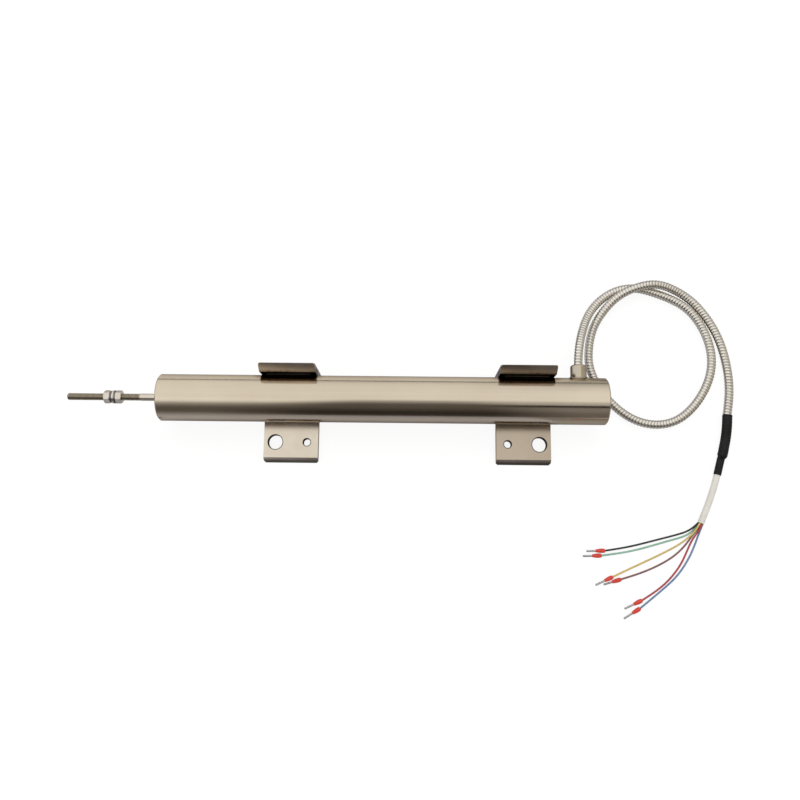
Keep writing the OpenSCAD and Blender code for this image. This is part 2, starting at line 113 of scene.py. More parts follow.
def smooth_route(points, step, lowest):
    """Points at equal steps on a smooth curve through the given points.

    The curve is a cubic in the distance along the straight gaps, with the same slope and bend on
    both sides of each point and no bend at its two ends. Where it would dip under the height
    lowest, at which it lies on the table, it is lifted to it.
    """
    points = np.array(points)
    marks = lengths_along(points)
    gaps = np.diff(marks)
    inner = np.arange(1, len(points) - 1)
    system = np.eye(len(points))
    system[inner, inner - 1] = gaps[:-1]
    system[inner, inner] = 2 * (gaps[:-1] + gaps[1:])
    system[inner, inner + 1] = gaps[1:]
    right = np.zeros_like(points)
    right[1:-1] = 6 * np.diff(np.diff(points, axis=0) / gaps[:, None], axis=0)
    bend = np.linalg.solve(system, right)
    place = np.linspace(0, marks[-1], CURVE_STEPS * len(points))
    gap = np.clip(np.searchsorted(marks, place, side="right") - 1, 0, len(gaps) - 1)
    before, after = (place - marks[gap])[:, None], (marks[gap + 1] - place)[:, None]
    whole = gaps[gap][:, None]
    curve = (bend[gap] * after**3 + bend[gap + 1] * before**3) / (6 * whole)
    curve += (points[gap] / whole - bend[gap] * whole / 6) * after
    curve += (points[gap + 1] / whole - bend[gap + 1] * whole / 6) * before
    curve[:, 2] = np.maximum(curve[:, 2], lowest)
    run = lengths_along(curve)
    even = np.linspace(0, run[-1], max(int(round(run[-1] / step)), 2) + 1)
    return np.stack([np.interp(even, run, axis) for axis in curve.T], axis=1)


def reach_grid(radius, rings, sides):
    """Radius at each point of a grid, from one number, one for each ring or one for each point."""
    reach = np.asarray(radius, float)
    return np.broadcast_to(reach.reshape(-1, 1) if reach.ndim < 2 else reach, (rings, sides))


def rings_along(line, radius, sides):
    """Grid of points round a line: point + radius * (cos angle * level + sin angle * upright).

    level is square to the line's run and to the vertical, upright is square to both, and the angle
    goes once round. reach_grid says what radius may be.
    """
    run = np.gradient(line, axis=0)
    run /= np.linalg.norm(run, axis=1, keepdims=True)
    level = np.cross(run, (0.0, 0.0, 1.0))
    level /= np.linalg.norm(level, axis=1, keepdims=True)
    upright = np.cross(level, run)
    angle = np.linspace(0, 2 * math.pi, sides, endpoint=False)[None, :, None]
    around = np.cos(angle) * level[:, None, :] + np.sin(angle) * upright[:, None, :]
    return line[:, None, :] + reach_grid(radius, len(line), sides)[..., None] * around


def grid_piece(name, grid, sharp_angle=None):
    """Mesh object from a grid of points, with the second index running once round the piece.

    Each cell of the grid is a four-sided face, and the first and last rings are closed by one face
    each. The faces are turned outwards by the sign of the volume that they enclose.
    """
    rings, sides = grid.shape[:2]
    points = grid.reshape(-1, 3)
    ring, side = np.meshgrid(np.arange(rings - 1) * sides, np.arange(sides), indexing="ij")
    turned = (side + 1) % sides
    quads = np.stack([ring + side, ring + turned, ring + sides + turned, ring + sides + side],
                     axis=-1).reshape(-1, 4)
    caps = [np.arange(sides)[::-1], (rings - 1) * sides + np.arange(sides)]
    first, second, third, fourth = (points[corner] for corner in quads.T)
    volume = np.sum(np.cross(first, second) * third) + np.sum(np.cross(first, third) * fourth)
    for cap in caps:
        fan = points[cap[1:]]
        volume += np.sum(np.cross(fan[:-1], fan[1:]) * points[cap[0]])
    if volume < 0:
        quads = quads[:, ::-1]
        caps = [cap[::-1] for cap in caps]
    corners = np.concatenate([quads.ravel(), *caps]).astype(np.int32)
    sizes = np.concatenate([np.full(len(quads), 4), np.full(len(caps), sides)])
    mesh = bpy.data.meshes.new(name)
    mesh.vertices.add(len(points))
    mesh.vertices.foreach_set("co", points.astype(np.float32).ravel())
    mesh.loops.add(len(corners))
    mesh.loops.foreach_set("vertex_index", corners)
    mesh.polygons.add(len(sizes))
    mesh.polygons.foreach_set("loop_start", (np.cumsum(sizes) - sizes).astype(np.int32))
    mesh.polygons.foreach_set("use_smooth", np.ones(len(sizes), bool))
    mesh.update(calc_edges=True)
    if sharp_angle is not None:
        mesh.set_sharp_from_angle(angle=math.radians(sharp_angle))
    mesh.validate()
    return scene_object(name, mesh)


def feed(tree, socket, value):
    """Joins a socket to another node's output, or sets it to a number or a colour."""
    if isinstance(value, bpy.types.NodeSocket):
        tree.links.new(socket, value)
    else:
        socket.default_value = value


def shader_node(tree, kind, settings=None, **links):
    """New node of that kind. settings are its own values or its sockets' values by name, and
    links joins its sockets, named with underscores for spaces, to other nodes' outputs."""
    made = tree.nodes.new(kind)
    for key, value in (settings or {}).items():
        if key in made.inputs:
            made.inputs[key].default_value = value
        else:
            setattr(made, key, value)
    for key, output in links.items():
        tree.links.new(made.inputs[key.replace("_", " ")], output)
    return made


def object_place(tree):
    """Object coordinates, which are metres in the frame for every piece and every panel."""
    return shader_node(tree, "ShaderNodeTexCoord").outputs["Object"]


def object_axes(tree):
    """The X, Y and Z outputs of the object coordinates."""
    return shader_node(tree, "ShaderNodeSeparateXYZ", Vector=object_place(tree)).outputs


def maths(tree, operation, *values):
    """Output of a maths node over the values, which are numbers or other nodes' outputs."""
    made = shader_node(tree, "ShaderNodeMath", {"operation": operation})
    for socket, value in zip(made.inputs, values):
        feed(tree, socket, value)
    return made.outputs[0]


def noise(tree, where, scale, detail, roughness=0.5):
    """Output of a noise texture over the given places."""
    settings = {"Scale": scale, "Detail": detail, "Roughness": roughness}
    return shader_node(tree, "ShaderNodeTexNoise", settings, Vector=where).outputs["Fac"]


def share_between(tree, value, low, high):
    """Output that runs from 0 to 1 while the value runs from low to high, and stays there."""
    settings = {"From Min": low, "From Max": high}
    return shader_node(tree, "ShaderNodeMapRange", settings, Value=value).outputs["Result"]


def ramp_colour(tree, factor, stops):
    """Colour output of a ramp with the given (place, colour) stops, of which there are two or more;
    a colour is one grey or three numbers."""
    made = shader_node(tree, "ShaderNodeValToRGB", Fac=factor)
    marks = made.color_ramp.elements
    while len(marks) < len(stops):
        marks.new(0.5)
    for mark, (place, colour) in zip(marks, stops):
        mark.position = place
        mark.color = (*((colour,) * 3 if np.isscalar(colour) else colour), 1.0)
    return made.outputs["Color"]


def mixed_colour(tree, share, first, second, blend_type="MIX"):
    """Colour output between two colours, by the share, or their product. For colours the node has
    the share as input 0, the two colours as 6 and 7, and the result as output 2."""
    made = shader_node(tree, "ShaderNodeMix", {"data_type": "RGBA", "blend_type": blend_type})
    for number, value in ((0, share), (6, first), (7, second)):
        feed(tree, made.inputs[number], value)
    return made.outputs[2]


def new_material(name):
    """New material, which starts with a Principled shader."""
    material = bpy.data.materials.new(name)
    material.use_nodes = True
    return material


def finish_surface(tree, tint, fine, roughness, strength, depth):
    """Joins the tint to the material's shader. The fine noise changes the roughness by a fifth and
    lifts the surface by depth metres, with the given strength."""
    surface = tree.nodes["Principled BSDF"]
    polish = shader_node(tree, "ShaderNodeMapRange",
                         {"To Min": 0.8 * roughness, "To Max": 1.2 * roughness}, Value=fine)
    bump = shader_node(tree, "ShaderNodeBump", {"Strength": strength, "Distance": depth}, Height=fine)
    tree.links.new(surface.inputs["Base Color"], tint)
    tree.links.new(surface.inputs["Roughness"], polish.outputs["Result"])
    tree.links.new(surface.inputs["Normal"], bump.outputs["Normal"])


EDGE_TINT = (0.55, 0.52, 0.50)


def steel_finish(name, bright, dull, roughness, grain, depth, patches=14.0):
    """Bare steel as it comes from drawing, rolling or turning.

    Broad noise, with about a third of the fine noise on it, mixes the bright and the dull colour.
    The fine noise is drawn out along the grain by the three scales in grain, changes the roughness
    and lifts the surface by depth metres. Where it is seen aslant it reflects with EDGE_TINT.
    """
    material = new_material(name)
    tree = material.node_tree
    surface = tree.nodes["Principled BSDF"]
    surface.inputs["Metallic"].default_value = 1.0
    surface.inputs["Specular Tint"].default_value = (*EDGE_TINT, 1.0)
    where = object_place(tree)
    drawn = shader_node(tree, "ShaderNodeMapping", {"Scale": grain}, Vector=where).outputs["Vector"]
    fine = noise(tree, drawn, scale=1.0, detail=4.0, roughness=0.6)
    both = maths(tree, "MULTIPLY_ADD", fine, 0.35, noise(tree, where, patches, detail=3.0))
    tint = ramp_colour(tree, both, [(0.45, dull), (0.82, bright)])
    finish_surface(tree, tint, fine, roughness, strength=0.6, depth=depth)
    return material


def multiply_colour(material, shade):
    """Puts the shade, an output of one of the material's nodes, over its base colour as a factor."""
    tree = material.node_tree
    base = tree.nodes["Principled BSDF"].inputs["Base Color"]
    tree.links.new(base, mixed_colour(tree, 1.0, base.links[0].from_socket, shade, "MULTIPLY"))


def shade_by_attribute(material, name, stops):
    """Multiplies the base colour by a ramp over an attribute of the mesh, from 0 to 1."""
    tree = material.node_tree
    value = shader_node(tree, "ShaderNodeAttribute", {"attribute_name": name})
    multiply_colour(material, ramp_colour(tree, value.outputs["Fac"], stops))
    return material


def store_values(piece, name, values):
    """Keeps one number for each point of the mesh as an attribute of that name."""
    layer = piece.data.attributes.new(name, "FLOAT", "POINT")
    layer.data.foreach_set("value", np.asarray(values, np.float32).ravel())


def wound_strip(line, sides):
    """Radius of a strip-wound hose at each point of the grid, and how far it is up on a crown.

    The phase is the distance along over the pitch, less the share of the way round, so that the
    rib climbs as a screw. Over CROWN_SHARE of each pitch the strip forms a slightly rounded crown
    with a smooth flank on both sides, and over the rest it drops to the groove where the next turn
    hooks in.
    """
    along = lengths_along(line)[:, None] / STRIP_PITCH
    phase = np.mod(along - np.arange(sides)[None, :] / sides, 1.0)
    edge = np.clip(np.minimum(phase, CROWN_SHARE - phase) / RIB_FLANK, 0, 1)
    rise = edge * edge * (3 - 2 * edge)
    bulge = CROWN_RISE * (1 - (2 * phase / CROWN_SHARE - 1) ** 2) * rise
    return CONDUIT_RADIUS - CROWN_RISE - GROOVE_DEPTH * (1 - rise) + bulge, rise


conduit_line = smooth_route(CONDUIT_POINTS, STRIP_PITCH / STRIP_STEPS, CONDUIT_RADIUS)
conduit_reach, conduit_crown = wound_strip(conduit_line, CONDUIT_SIDES)
conduit = grid_piece("wound_conduit", rings_along(conduit_line, conduit_reach, CONDUIT_SIDES))
store_values(conduit, "crown", conduit_crown)
conduit_steel = steel_finish("conduit_steel", (0.93, 0.90, 0.84), (0.86, 0.82, 0.77), roughness=0.2,
                             grain=(500.0, 500.0, 500.0), depth=0.00001, patches=90.0)
# Painted shade darkens the grooves between the strip's turns
conduit.data.materials.append(shade_by_attribute(conduit_steel, "crown", [
    (0.0, (0.72, 0.69, 0.64)), (0.8, 1.0)]))
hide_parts("metal_conduit")
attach(conduit, "housing")


# Heat-shrink sleeve
# A black plastic sleeve shrunk over the conduit's cut end and the first centimetre of the sheath.
# It is wide over the conduit, steps down in a short cone, and shows the ribs under it faintly.
SLEEVE_POINTS = [
    (0.2238, 0.0225, 0.0034), (0.2226, 0.011, 0.0034), (0.2203, 0.0, 0.0034),
    (0.2183, -0.007, 0.0034), (0.2179, -0.0084, 0.0026), (0.2148, -0.0195, 0.0026),
]
SLEEVE_WIDE, SLEEVE_NARROW = 0.0034, 0.0026
SLEEVE_STEP_AT, SLEEVE_STEP_LENGTH = 0.0301, 0.0016
SLEEVE_RIPPLE, SLEEVE_ROUND = 0.00004, 0.00025
SLEEVE_SIDES, SLEEVE_RING_GAP = 28, 0.0002


def plastic_finish(name, colour, deeper, roughness, speckle=900.0, depth=0.00002, gloss=0.5):
    """Coloured plastic: the colour deepens a little in patches of noise, and a finer noise, of the
    scale speckle, roughens the surface and lifts it by depth metres."""
    material = new_material(name)
    tree = material.node_tree
    tree.nodes["Principled BSDF"].inputs["Specular IOR Level"].default_value = gloss
    where = object_place(tree)
    patches = noise(tree, where, 0.12 * speckle, detail=3.0)
    tint = ramp_colour(tree, patches, [(0.3, deeper), (0.7, colour)])
    fine = noise(tree, where, speckle, detail=3.0)
    finish_surface(tree, tint, fine, roughness, strength=0.5, depth=depth)
    return material


def shrunk_radius(along):
    """Radius of the sleeve: wide, a smooth cone, narrow; low ripples with the strip's pitch over
    the conduit, and both ends rounded over the last quarter of a millimetre."""
    share = np.clip((along - SLEEVE_STEP_AT) / SLEEVE_STEP_LENGTH + 0.5, 0, 1)
    radius = SLEEVE_WIDE + (SLEEVE_NARROW - SLEEVE_WIDE) * share * share * (3 - 2 * share)
    radius -= SLEEVE_RIPPLE * (1 - share) * (1 + np.cos(2 * math.pi * along / STRIP_PITCH))
    end = np.clip(np.minimum(along, along[-1] - along) / SLEEVE_ROUND, 0, 1)
    return radius - SLEEVE_ROUND * (1 - np.sqrt(end * (2 - end)))


sleeve_line = smooth_route(SLEEVE_POINTS, SLEEVE_RING_GAP, SLEEVE_NARROW)
sleeve_line[:, 2] = np.maximum(sleeve_line[:, 2], shrunk_radius(lengths_along(sleeve_line)))
sleeve_reach = shrunk_radius(lengths_along(sleeve_line))
sleeve = grid_piece("shrunk_sleeve", rings_along(sleeve_line, sleeve_reach, SLEEVE_SIDES))
sleeve.data.materials.append(plastic_finish("heat_shrink_black", (0.011, 0.0105, 0.011),
                                            (0.006, 0.006, 0.006), roughness=0.5, gloss=0.22))
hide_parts("heat_shrink_sleeve")
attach(sleeve, "housing")


# White sheath
# The lead's own plastic sheath, pushed into the end of the conduit and held by the black sleeve. It
# is cut off square where the six wires come out.
SHEATH_POINTS = [(0.2148, -0.0195, 0.0023), (0.211, -0.031, 0.0023), (0.2066, -0.042, 0.0023),
                 (0.2018, -0.0527, 0.0023)]
SHEATH_RADIUS = 0.00225
SHEATH_SIDES, SHEATH_RING_GAP = 28, 0.0004
CUT_EASE, CUT_LENGTH = 0.0001, 0.0003

sheath_line = smooth_route(SHEATH_POINTS, SHEATH_RING_GAP, SHEATH_RADIUS)
sheath_along = lengths_along(sheath_line)
sheath_reach = SHEATH_RADIUS - CUT_EASE * (sheath_along > sheath_along[-1] - CUT_LENGTH)
sheath = grid_piece("white_sheath", rings_along(sheath_line, sheath_reach, SHEATH_SIDES), sharp_angle=40)
sheath_white = plastic_finish("sheath_white", (0.75, 0.73, 0.68), (0.68, 0.66, 0.6), roughness=0.4)
sheath.data.materials.append(sheath_white)
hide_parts("cable_sheath")
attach(sheath, "housing")


# Wires, ferrule collars and pins
# Six stranded wires with coloured insulation fan out from the sheath. Each ends in a crimped
# ferrule: a red plastic collar, which funnels the strands in, on a tinned copper pin.
# For each wire its route from the sheath to its collar, and the tip of its pin
WIRES = {
    "black": ([(0.2002, -0.0524, 0.0024), (0.1948, -0.057, 0.0011), (0.186, -0.0605, 0.00065),
               (0.171, -0.0645, 0.00065), (0.154, -0.0688, 0.00065), (0.136, -0.072, 0.00175)],
              (0.1235, -0.0724, 0.00065)),
    "green": ([(0.201, -0.0526, 0.0011), (0.1952, -0.059, 0.00065), (0.183, -0.064, 0.00065),
               (0.170, -0.0678, 0.00065), (0.154, -0.072, 0.00065), (0.1335, -0.0753, 0.00175)],
              (0.121, -0.0758, 0.00065)),
    "yellow": ([(0.201, -0.0526, 0.0035), (0.197, -0.0587, 0.0023), (0.1923, -0.0634, 0.00065),
                (0.179, -0.0715, 0.00065), (0.166, -0.0778, 0.00065), (0.153, -0.0838, 0.00065),
                (0.1407, -0.0895, 0.0015)],
               (0.1286, -0.095, 0.0028)),
    "brown": ([(0.2024, -0.0532, 0.0011), (0.1965, -0.0608, 0.00065), (0.1895, -0.0693, 0.00065),
               (0.183, -0.075, 0.00065), (0.174, -0.0805, 0.00065), (0.163, -0.0855, 0.00065),
               (0.1462, -0.091, 0.00175)],
              (0.1346, -0.0947, 0.00065)),
    "red": ([(0.2024, -0.0532, 0.0035), (0.1998, -0.0583, 0.002), (0.196, -0.0642, 0.00065),
             (0.189, -0.0778, 0.00065), (0.183, -0.0865, 0.00065), (0.1765, -0.0933, 0.00065),
             (0.160, -0.1047, 0.00175)],
            (0.1482, -0.1105, 0.00065)),
    "blue": ([(0.2031, -0.0535, 0.0023), (0.2008, -0.0595, 0.0011), (0.1952, -0.0725, 0.00065),
              (0.1905, -0.0805, 0.00065), (0.1845, -0.0883, 0.00065), (0.1755, -0.0966, 0.00065),
              (0.1585, -0.110, 0.00175)],
             (0.1475, -0.117, 0.00065)),
}
# For each wire the colour of its plastic, and the deeper colour of its patches
INSULATION = {
    "black": ((0.028, 0.028, 0.03), (0.018, 0.018, 0.019)),
    "green": ((0.29, 0.52, 0.39), (0.23, 0.45, 0.33)),
    "yellow": ((0.67, 0.50, 0.16), (0.59, 0.43, 0.125)),
    "brown": ((0.26, 0.11, 0.11), (0.19, 0.075, 0.078)),
    "red": ((0.47, 0.045, 0.06), (0.38, 0.032, 0.043)),
    "blue": ((0.15, 0.26, 0.44), (0.12, 0.21, 0.38)),
}
WIRE_RADIUS, WIRE_RING_GAP = 0.00065, 0.0004
WIRE_SIDES, COLLAR_SIDES, PIN_SIDES = 14, 28, 20
COLLAR_LENGTH = 0.0063
COLLAR_RINGS, PIN_RINGS = 50, 70
# Outline of a collar as (share of its length, radius), from the wire's side to the pin's side
COLLAR_OUTLINE = [(0.0, 0.00105), (0.015, 0.00122), (0.1, 0.00135), (0.22, 0.00148), (0.3, 0.0015),
                  (0.5, 0.00148), (0.62, 0.00138), (0.8, 0.00118), (0.96, 0.00104), (1.0, 0.00088)]
PIN_HIDDEN = 0.001
CRIMP_BANDS, CRIMP_DEPTH = 6, 0.00001
PIN_TIP_SHARE, PIN_TIP_FLAT = 0.05, 0.02

collar_red = plastic_finish("collar_red", (0.72, 0.06, 0.035), (0.63, 0.042, 0.025), roughness=0.3)
pin_tin = steel_finish("pin_tin", (0.68, 0.68, 0.66), (0.58, 0.58, 0.56), roughness=0.4,
                       grain=(900.0, 900.0, 900.0), depth=0.000005, patches=200.0)


def crimped_radius(share):
    """Radius of a pin over the share of its length: a cosine wave for the bands that the crimping
    tool left, and a round tip with a small flat end."""
    bands = CRIMP_DEPTH * (0.5 + 0.5 * np.cos(share * 2 * math.pi * CRIMP_BANDS))
    tip = np.clip((1 - share) / PIN_TIP_SHARE, 0, 1)
    return (WIRE_RADIUS - bands) * np.sqrt(np.maximum(tip * (2 - tip), PIN_TIP_FLAT))


collar_share, collar_radius = np.array(COLLAR_OUTLINE).T
collar_reach = np.interp(np.linspace(0, 1, COLLAR_RINGS), collar_share, collar_radius)
pin_reach = crimped_radius(np.linspace(0, 1, PIN_RINGS))
for colour, (points, tip) in WIRES.items():
    wire_line = smooth_route(points, WIRE_RING_GAP, WIRE_RADIUS)
    wire = grid_piece("insulated_wire_" + colour, rings_along(wire_line, WIRE_RADIUS, WIRE_SIDES))
    wire.data.materials.append(plastic_finish("insulation_" + colour, *INSULATION[colour],
                                              roughness=0.35, speckle=1500.0))
    start, tip = np.array(points[-1]), np.array(tip)
    whole = np.linalg.norm(tip - start)
    way = (tip - start) / whole
    collar_line = start + np.linspace(0, COLLAR_LENGTH, COLLAR_RINGS)[:, None] * way
    collar = grid_piece("ferrule_collar_" + colour, rings_along(collar_line, collar_reach, COLLAR_SIDES))
    collar.data.materials.append(collar_red)
    pin_line = start + np.linspace(COLLAR_LENGTH - PIN_HIDDEN, whole, PIN_RINGS)[:, None] * way
    pin = grid_piece("ferrule_pin_" + colour, rings_along(pin_line, pin_reach, PIN_SIDES))
    pin.data.materials.append(pin_tin)
    for piece, node, slot in ((wire, "wire_", "insulation_" + colour), (collar, "collar_", "collar_red"),
                              (pin, "pin_", "pin_tin")):
        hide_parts(node + colour)
        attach(piece, "housing")


# Housing tube
# Drawn stainless tube, 32 mm across with a 2 mm wall, polished along its length. Its ends are
# chamfered, and the place where such a sensor carries its engraving is left bare.
def dress_node(node, material):
    """Gives a CAD node that keeps its own shape a material in all of its slots."""
    slots = nodes[node].data.materials
    if not slots:
        slots.append(material)
    for number in range(len(slots)):
        slots[number] = material


def vectors_of(parts, name):
    """That vector of each of a mesh's vertices or faces, as an array with three columns."""
    values = np.empty(len(parts) * 3)
    parts.foreach_get(name, values)
    return values.reshape(-1, 3)


def node_box(node):
    """Lowest and highest X, Y and Z of a CAD node."""
    points = vectors_of(nodes[node].data.vertices, "co")
    return points.min(axis=0), points.max(axis=0)


TUBE_RADIUS = 0.016
tube_low, tube_high = node_box("housing_tube")
bracket_low, bracket_high = node_box("front_bracket")
weld_high = node_box("front_bracket_weld")[1]
TUBE_Y, TUBE_Z = tube_high[1] - TUBE_RADIUS, tube_low[2] + TUBE_RADIUS
# The line of the upper weld of each bracket, just inside the bead's outermost corner
WELD_MIDDLE, WELD_HALF = -0.5 * (bracket_low[0] + bracket_high[0]), 0.0175
WELD_Y, WELD_Z = weld_high[1] - 0.0005, weld_high[2] - 0.001


def paint_gap_shade(material, reach, stops):
    """Multiplies the base colour by a ramp over the distance from the upper bracket welds.

    The darkening is painted shade for the narrow gaps between the tube and the legs. The welds lie
    along X on both sides of the origin, at WELD_MIDDLE give or take WELD_HALF. The distance is taken
    to that stretch of line. Behind it, through the leg, it counts one and a half times, so that the
    outer face is shaded faintly. A little noise makes the shade's edge uneven.
    """
    tree = material.node_tree
    axes = object_axes(tree)
    from_middle = maths(tree, "SUBTRACT", maths(tree, "ABSOLUTE", axes["X"]), WELD_MIDDLE)
    past_end = maths(tree, "SUBTRACT", maths(tree, "ABSOLUTE", from_middle), WELD_HALF)
    ahead = maths(tree, "SUBTRACT", axes["Y"], WELD_Y)
    offset = shader_node(tree, "ShaderNodeCombineXYZ", X=maths(tree, "MAXIMUM", past_end, 0.0),
                         Y=maths(tree, "MAXIMUM", ahead, maths(tree, "MULTIPLY", ahead, 1.5)),
                         Z=maths(tree, "SUBTRACT", axes["Z"], WELD_Z))
    away = shader_node(tree, "ShaderNodeVectorMath", {"operation": "LENGTH"}, Vector=offset.outputs[0])
    uneven = maths(tree, "SUBTRACT", noise(tree, object_place(tree), 350.0, detail=2.0), 0.5)
    share = maths(tree, "MULTIPLY_ADD", uneven, 0.25,
                  maths(tree, "DIVIDE", away.outputs["Value"], reach))
    multiply_colour(material, ramp_colour(tree, share, stops))
    return material


tube_steel = steel_finish("tube_steel", (0.69, 0.60, 0.465), (0.62, 0.53, 0.405), roughness=0.15,
                          grain=(10.0, 800.0, 800.0), depth=0.000004)
# Painted shade darkens the tube beside the bracket welds, in the narrow gaps by the legs
dress_node("housing_tube", paint_gap_shade(tube_steel, reach=0.008, stops=[
    (0.0, (0.3, 0.24, 0.2)), (0.5, (0.6, 0.53, 0.46)), (1.0, 1.0)]))


# End plugs and guide bush
# Turned stainless plugs pressed into the tube. The front one carries a flanged plastic bush, which
# guides the rod with a few hundredths of a millimetre of play.
turned_steel = steel_finish("plug_steel", (0.70, 0.64, 0.56), (0.58, 0.52, 0.45), roughness=0.2,
                            grain=(60.0, 700.0, 700.0), depth=0.000006)
for node in ("front_plug", "rear_plug"):
    dress_node(node, turned_steel)
dress_node("guide_bush", plastic_finish("bush_ptfe", (0.80, 0.79, 0.75), (0.72, 0.71, 0.67),
                                        roughness=0.45))


# Winding pack
# Inside the tube: a thin non-magnetic liner, a moulded former with three windings of enamelled
# copper, a soft-iron shield round them, and a laminate board with tinned pins for the lead's end.
dress_node("liner_tube", steel_finish("liner_steel", (0.70, 0.69, 0.66), (0.60, 0.59, 0.57),
                                      roughness=0.25, grain=(12.0, 700.0, 700.0), depth=0.000004))
dress_node("coil_former", plastic_finish("former_plastic", (0.55, 0.48, 0.30), (0.46, 0.40, 0.24),
                                         roughness=0.5))
copper = steel_finish("winding_copper", (0.62, 0.26, 0.11), (0.48, 0.18, 0.07), roughness=0.35,
                      grain=(4000.0, 40.0, 40.0), depth=0.00006)
for node in ("primary_winding", "front_secondary", "rear_secondary"):
    dress_node(node, copper)
dress_node("magnetic_shield", steel_finish("shield_iron", (0.28, 0.26, 0.25), (0.18, 0.17, 0.16),
                                           roughness=0.45, grain=(30.0, 300.0, 300.0), depth=0.00001))
dress_node("terminal_board", plastic_finish("board_laminate", (0.05, 0.20, 0.09), (0.03, 0.15, 0.06),
                                            roughness=0.4))
dress_node("terminal_pins", pin_tin)
dress_node("cable_tail", sheath_white)


# Brackets
# Two sawn lengths of rolled stainless angle. The foot has a large hole for the bolt and a small
# one beside it, and the other leg stands behind the tube. Sawn corners are broken by hand.
# Height of a toe, from where its round leaves the leg's inner face to the leg's end
LEG_TOE = 0.0064
FOOT_EDGE, FOOT_TOP = bracket_low[1], tube_low[2]
BACK_FACE, BACK_INNER, BACK_TOP = bracket_high[1], tube_high[1], bracket_high[2]
FOOT_START, BACK_START = FOOT_EDGE + LEG_TOE, BACK_TOP - LEG_TOE
FOOT_BEVEL, FOOT_BEVEL_POWER = 0.0032, 1.4
BACK_ROUND_LEFT = 0.17
TOLERANCE = 0.00001
# Place on the X axis and radius of the holes, and how far outside it their shade fades out
BOLT_HOLE, PILOT_HOLE = (0.092, 0.005), (0.07, 0.0025)
FADE_START, FADE_END = 0.00035, 0.0006
TOE_FORWARD, TOE_UPWARD = 0.15, 0.01
MERGE_GAP, FLAT_ANGLE, EDGE_ANGLE = 0.000002, 0.5, 35.0
# Painted shade for the walls and broken edges of the holes
HOLE_SHADE = (0.03, 0.025, 0.022)
# Painted shade over a toe's height, darkest at the table
TOE_SHADE = [(0.0, (0.20, 0.20, 0.18)), (0.55, (0.30, 0.30, 0.27)), (0.9, 1.0)]
# For each bracket the steel where it is bright and where it is dull, the same for its toes, and
# the rim of the painted shade by the upper weld
BRACKET_STEELS = {
    "front": ((0.76, 0.68, 0.56), (0.64, 0.56, 0.45), (0.68, 0.60, 0.52), (0.57, 0.50, 0.42),
              (0.66, 0.6, 0.54)),
    "rear": ((0.50, 0.42, 0.325), (0.43, 0.355, 0.27), (0.47, 0.40, 0.34), (0.38, 0.32, 0.27),
             (0.5, 0.45, 0.4)),
}


def eased_copy(name, node, ease):
    """Copy of a CAD node with its corners merged and its edges eased by a small round bevel."""
    mesh = nodes[node].data.copy()
    mesh.materials.clear()
    piece = scene_object(name, mesh)
    merge = piece.modifiers.new("merge", "WELD")
    merge.merge_threshold = MERGE_GAP
    flat = piece.modifiers.new("flat_faces", "DECIMATE")
    flat.decimate_type = "DISSOLVE"
    flat.angle_limit = math.radians(FLAT_ANGLE)
    bevel = piece.modifiers.new("ease", "BEVEL")
    bevel.width = ease
    bevel.segments = 3
    bevel.limit_method = "ANGLE"
    bevel.angle_limit = math.radians(EDGE_ANGLE)
    bevel.harden_normals = True
    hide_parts(node)
    return piece


def shade_drilled(material, holes, shade):
    """Multiplies the base colour by the shade on the walls and the broken edges of drilled holes.

    The shade is painted shade inside the holes. The holes stand on the X axis at both signs of each
    place, and are given as (place, radius).
    """
    tree = material.node_tree
    axes = object_axes(tree)
    flat = shader_node(tree, "ShaderNodeCombineXYZ", X=maths(tree, "ABSOLUTE", axes["X"]), Y=axes["Y"])
    for place, radius in holes:
        away = shader_node(tree, "ShaderNodeVectorMath", {"operation": "DISTANCE"})
        feed(tree, away.inputs[0], flat.outputs[0])
        feed(tree, away.inputs[1], (place, 0.0, 0.0))
        share = share_between(tree, away.outputs["Value"], radius + FADE_START, radius + FADE_END)
        multiply_colour(material, ramp_colour(tree, share, [(0.0, shade), (1.0, 1.0)]))


def shade_low(material, height, stops):
    """Multiplies the base colour by a ramp over Z, from the table up to the given height."""
    tree = material.node_tree
    share = share_between(tree, object_axes(tree)["Z"], 0.0, height)
    multiply_colour(material, ramp_colour(tree, share, stops))


def filed_toes(mesh):
    """Makes the rounded toes of the angle as flat as a file leaves them.

    The back leg's toe follows a straight line over Z from the inner face to the top edge, with the
    share BACK_ROUND_LEFT of its round left. The foot's toe is drawn in towards its edge: it lies
    FOOT_BEVEL times the height's share of the foot's thickness, to FOOT_BEVEL_POWER, behind it.
    """
    points = vectors_of(mesh.vertices, "co")
    across, up = points[:, 1], points[:, 2]
    back = (up > BACK_START + TOLERANCE) & (across < BACK_FACE - TOLERANCE)
    line = BACK_INNER + (up - BACK_START) * (BACK_FACE - BACK_INNER) / (BACK_TOP - BACK_START)
    foot = (across < FOOT_START + TOLERANCE) & (up > TOLERANCE)
    edge = FOOT_EDGE + FOOT_BEVEL * (np.clip(up, 0.0, FOOT_TOP) / FOOT_TOP) ** FOOT_BEVEL_POWER
    nearly_flat = BACK_ROUND_LEFT * across + (1 - BACK_ROUND_LEFT) * line
    points[:, 1] = np.where(back, nearly_flat, np.where(foot, edge, across))
    mesh.vertices.foreach_set("co", points.ravel())


def toe_faces(mesh):
    """Material number 1 for the sloping faces of both toes, and 0 for all others. The normal of a
    sloping face has at least TOE_FORWARD towards -Y and TOE_UPWARD upwards."""
    normals, middles = vectors_of(mesh.polygons, "normal"), vectors_of(mesh.polygons, "center")
    sloping = (normals[:, 1] < -TOE_FORWARD) & (normals[:, 2] > TOE_UPWARD)
    return (sloping & ((middles[:, 2] > BACK_START) | (middles[:, 1] < FOOT_START))).astype(np.int32)


